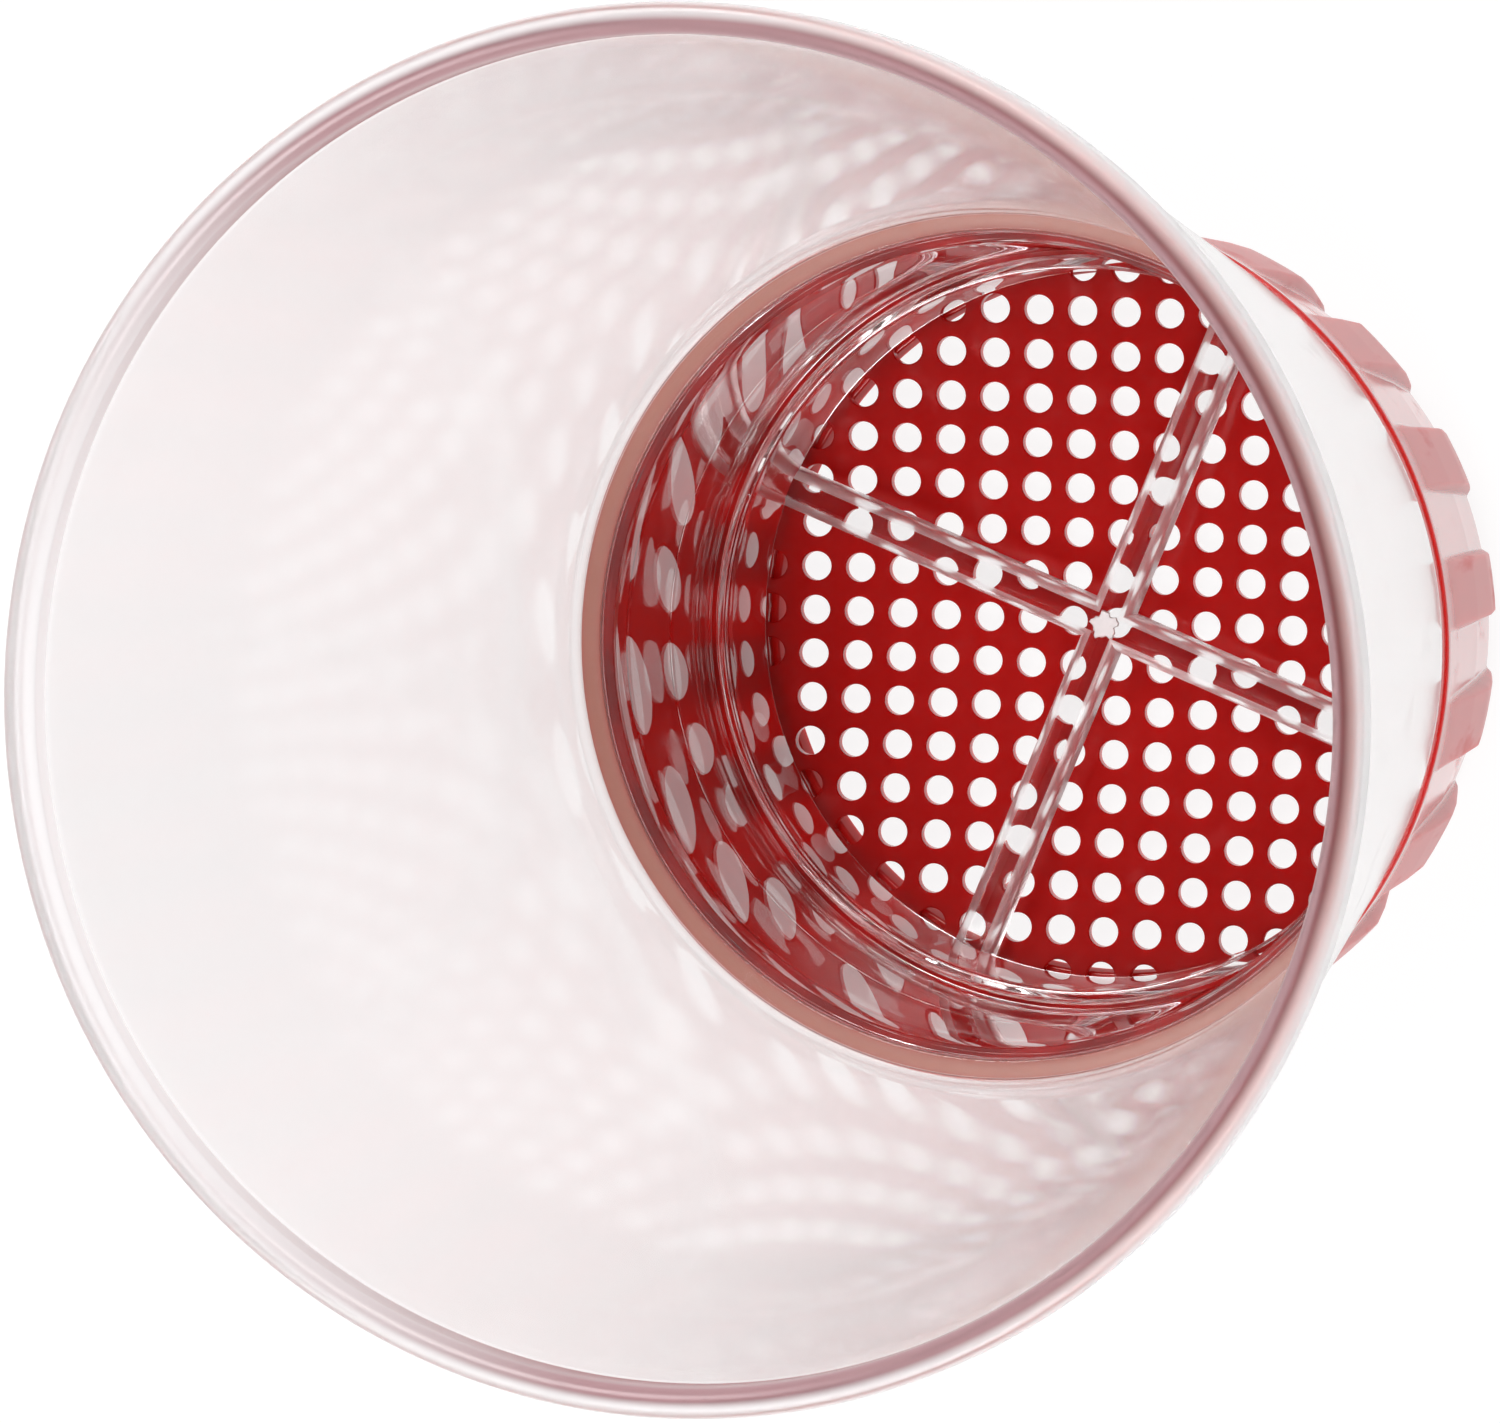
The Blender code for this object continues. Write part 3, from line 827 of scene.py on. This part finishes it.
class SPINNER_OT_seal(bpy.types.Operator):
    """Build the silicone ring that seals the vessel's shoulder on the cup"""

    bl_idname = "spinner.seal"
    bl_label = "Seal Ring"

    def execute(self, context):
        given = context.scene.spinner_seal
        obj = revolved("silicone_seal", seal_outline(given), even_angles(256))
        place(obj, silicone("Amber Silicone", tuple(given.amber)), "seal", "seal_ring")
        return {"FINISHED"}


class SPINNER_OT_cup(bpy.types.Operator):
    """Build the fluted red strainer cup"""

    bl_idname = "spinner.cup"
    bl_label = "Strainer Cup"

    def execute(self, context):
        given = context.scene.spinner_cup
        outline = cup_outline(given)
        columns = flute_columns(given)
        obj = revolved("fluted_cup", outline, columns)
        weights = [flute_weight(r, z, given) for r, z in outline] * len(columns)
        stored = obj.data.attributes.new("flute", "FLOAT", "POINT")
        stored.data.foreach_set("value", weights)
        surface = red_plastic("Red Cup Plastic", tuple(given.red), 0.1, 0.8, 0.19)
        # The bore's darker red is painted shade inside the cup.
        bore = red_plastic("Red Bore Plastic", tuple(given.shaded_bore_red), 0.5, 0.8, 0.0, 0.08)
        values = {
            "Count": given.flutes,
            "Phase": given.phase,
            "Lobe Half Angle": given.lobe_half_angle,
            "Edge Angle": given.edge_angle,
            "Depth": given.depth,
            "Material": surface,
        }
        grow(obj, flute_tree(), values)
        place(obj, surface, "cup", "strainer_cup", math.radians(60.0))
        obj.data.materials.append(bore)
        for face in obj.data.polygons:
            across = math.hypot(face.center.x, face.center.y)
            inward = face.normal.x * face.center.x + face.normal.y * face.center.y < -0.5 * across
            face.material_index = 1 if inward else 0
        return {"FINISHED"}


class SPINNER_OT_disc(bpy.types.Operator):
    """Build the domed drain floor with its grid of round holes"""

    bl_idname = "spinner.disc"
    bl_label = "Drain Floor"

    def execute(self, context):
        given = context.scene.spinner_disc
        obj = mesh_object("drain_floor", [(0.0, 0.0, 0.0)], [])
        # The floor's red is set darker than the cup's: painted shade at the bottom of the cup.
        surface = red_plastic("Red Floor Plastic", tuple(given.red), 0.12, 0.8, 0.0, 0.3)
        values = {
            "Radius": given.radius,
            "Pitch": given.pitch,
            "Hole Radius": 0.5 * given.hole_diameter,
            "Edge": given.chamfer,
            "Thickness": given.thickness,
            "Perforated Radius": given.perforated,
            "Reach": given.reach,
            "Centre Height": given.centre_z,
            "Dome": given.dome,
            "Material": surface,
        }
        grow(obj, perforation_tree(), values)
        place(obj, surface, "cup", "strainer_disc", math.radians(30.0))
        return {"FINISHED"}


class SPINNER_OT_cross_ring(bpy.types.Operator):
    """Build the clear ring whose crossed ribs stand over the drain floor"""

    bl_idname = "spinner.cross_ring"
    bl_label = "Cross Ring"

    def execute(self, context):
        given = context.scene.spinner_cross_ring
        obj = revolved("clear_cross_ring", cross_ring_outline(given), even_angles(240, given.angle))
        surface = clear_plastic("Clear Insert Plastic", tuple(given.tint), 0.03, 0.03, 1.0, 20.0 * MM)
        frosted = frosted_plastic("Frosted Rib Edge", tuple(given.tint), 0.28, 0.8)
        # Painted highlight: a whitish, nearly opaque frosted star where the ribs cross stands for a glint.
        painted_glint = frosted_plastic("Painted Glint Star", (0.95, 0.93, 0.93), 0.6, 0.1)
        values = {
            "Bars": 2,
            "Angle": given.angle,
            "Reach": given.rib_reach,
            "Width": given.rib_width,
            "Bottom": given.rib_bottom_z,
            "Top": given.rib_top_z,
            "Edge": given.rib_edge,
            "Foot": given.rib_foot,
            "Material": surface,
        }
        grow(obj, rib_tree(), values)
        add_painted_glint_star(obj.data, given.rib_top_z, 1.8 * MM)
        place(obj, surface, "cross", "cross_ring", math.radians(40.0))
        obj.data.materials.append(frosted)
        obj.data.materials.append(painted_glint)
        for face in obj.data.polygons:
            face.material_index = rib_finish(face, given)
        return {"FINISHED"}


def add_painted_glint_star(mesh, height, radius):
    """Adds a low, ragged star where the ribs cross, finished in whitish frosted plastic: a painted glint.
    """
    shape = bmesh.new()
    shape.from_mesh(mesh)
    corners = 32
    rings = []
    for level, spread in ((-0.1 * MM, 1.0), (0.12 * MM, 0.92), (0.3 * MM, 0.55)):
        ring = []
        for step in range(corners):
            turn = TURN * step / corners
            ragged = 1.0 + 0.16 * math.sin(5.0 * turn) + 0.09 * math.sin(11.0 * turn + 1.0)
            across = radius * spread * ragged
            corner = (across * math.cos(turn), across * math.sin(turn), height + level)
            ring.append(shape.verts.new(corner))
        rings.append(ring)
    for low, high in zip(rings, rings[1:]):
        for step in range(corners):
            after = (step + 1) % corners
            shape.faces.new((low[step], low[after], high[after], high[step]))
    shape.faces.new(rings[0][::-1])
    shape.faces.new(rings[-1])
    shape.to_mesh(mesh)
    shape.free()


def rib_finish(face, given):
    """Which finish a face of the cross ring has: 0 clear, 1 frosted rib edge, 2 the whitish star that
    stands for a glint (painted highlight).
    """
    across = math.hypot(face.center.x, face.center.y)
    if face.center.z > given.rib_top_z + 0.02 * MM and across < 3.0 * MM:
        return 2
    on_rib = across < given.inner_radius - 0.5 * MM and face.center.z > given.rib_bottom_z + given.rib_foot
    return 1 if on_rib and face.normal.z < 0.98 else 0


class SPINNER_OT_stage(bpy.types.Operator):
    """Set the pale floor, the soft lights and the camera"""

    bl_idname = "spinner.stage"
    bl_label = "Stage"

    def execute(self, context):
        given = context.scene.spinner_stage
        build_floor(given)
        build_lights(given)
        eye = bpy.data.cameras.new("Camera")
        eye.lens = given.lens
        eye.sensor_width = 36.0
        eye.clip_start = 0.01
        camera = bpy.data.objects.new("Camera", eye)
        camera.location = given.camera
        camera.rotation_euler = given.turn
        context.scene.collection.objects.link(camera)
        context.scene.camera = camera
        context.scene.view_settings.view_transform = "Standard"
        paths = context.scene.cycles
        paths.max_bounces = 24
        paths.glossy_bounces = 16
        paths.transmission_bounces = 24
        return {"FINISHED"}


def build_floor(given):
    reach = 3.0
    corners = [(-reach, -reach, 0.0), (reach, -reach, 0.0), (reach, reach, 0.0), (-reach, reach, 0.0)]
    mesh = bpy.data.meshes.new("floor")
    mesh.from_pydata(corners, [], [(0, 1, 2, 3)])
    floor = bpy.data.objects.new("floor", mesh)
    bpy.context.scene.collection.objects.link(floor)
    made, wires, shader = new_surface("Lit Table")
    inputs = {"Base Color": (0.12, 0.12, 0.12, 1.0), "Roughness": 1.0, "Specular IOR Level": 0.0}
    inputs.update({"Emission Color": (1.0, 1.0, 1.0, 1.0), "Emission Strength": given.floor_glow})
    wires.fill(shader, inputs)
    mesh.materials.append(made)


def build_lights(given):
    world = bpy.data.worlds.new("Studio")
    world.use_nodes = True
    wires = Wires(world.node_tree)
    upward = wires.separated(wires.node("ShaderNodeTexCoord").outputs["Generated"])["Z"]
    shade = wires.ramp(upward, 0.45, 0.85, given.surroundings, given.ceiling)
    wires.fill(world.node_tree.nodes["Background"], {"Strength": shade, "Color": (1.0, 1.0, 1.0, 1.0)})
    bpy.context.scene.world = world
    soft_light("Softbox Far", (-0.12, 0.52, 0.95), 0.5, 7.0)
    soft_light("Softbox Near", (0.12, -0.52, 0.95), 0.5, 7.0)


def soft_light(name, position, size, power):
    lamp = bpy.data.lights.new(name, "AREA")
    lamp.size = size
    lamp.energy = power
    obj = bpy.data.objects.new(name, lamp)
    obj.location = position
    obj.rotation_euler = (Vector((0.0, 0.0, 0.08)) - Vector(position)).to_track_quat("-Z", "Y").to_euler()
    bpy.context.scene.collection.objects.link(obj)


class SPINNER_PT_panel(bpy.types.Panel):
    """Lists the pieces of the salad spinner"""

    bl_idname = "SPINNER_PT_panel"
    bl_label = "Salad Spinner"
    bl_space_type = "VIEW_3D"
    bl_region_type = "UI"
    bl_category = "Spinner"

    def draw(self, context):
        for operator in OPERATORS:
            self.layout.operator(operator.bl_idname)


SETTINGS = {
    "spinner_vessel": VesselSettings,
    "spinner_cup": CupSettings,
    "spinner_disc": DiscSettings,
    "spinner_cross_ring": CrossRingSettings,
    "spinner_seal": SealSettings,
    "spinner_stage": StageSettings,
}
OPERATORS = (
    SPINNER_OT_stage,
    SPINNER_OT_cup,
    SPINNER_OT_disc,
    SPINNER_OT_cross_ring,
    SPINNER_OT_seal,
    SPINNER_OT_vessel,
)


def register():
    for name, group in SETTINGS.items():
        bpy.utils.register_class(group)
        setattr(bpy.types.Scene, name, bpy.props.PointerProperty(type=group))
    for operator in OPERATORS:
        bpy.utils.register_class(operator)
    bpy.utils.register_class(SPINNER_PT_panel)


def unregister():
    bpy.utils.unregister_class(SPINNER_PT_panel)
    for operator in reversed(OPERATORS):
        bpy.utils.unregister_class(operator)
    for name, group in reversed(SETTINGS.items()):
        delattr(bpy.types.Scene, name)
        bpy.utils.unregister_class(group)


def main():
    register()
    bpy.ops.spinner.stage()
    bpy.ops.spinner.cup()
    bpy.ops.spinner.disc()
    bpy.ops.spinner.cross_ring()
    bpy.ops.spinner.seal()
    bpy.ops.spinner.vessel()


if __name__ == "__main__":
    main()
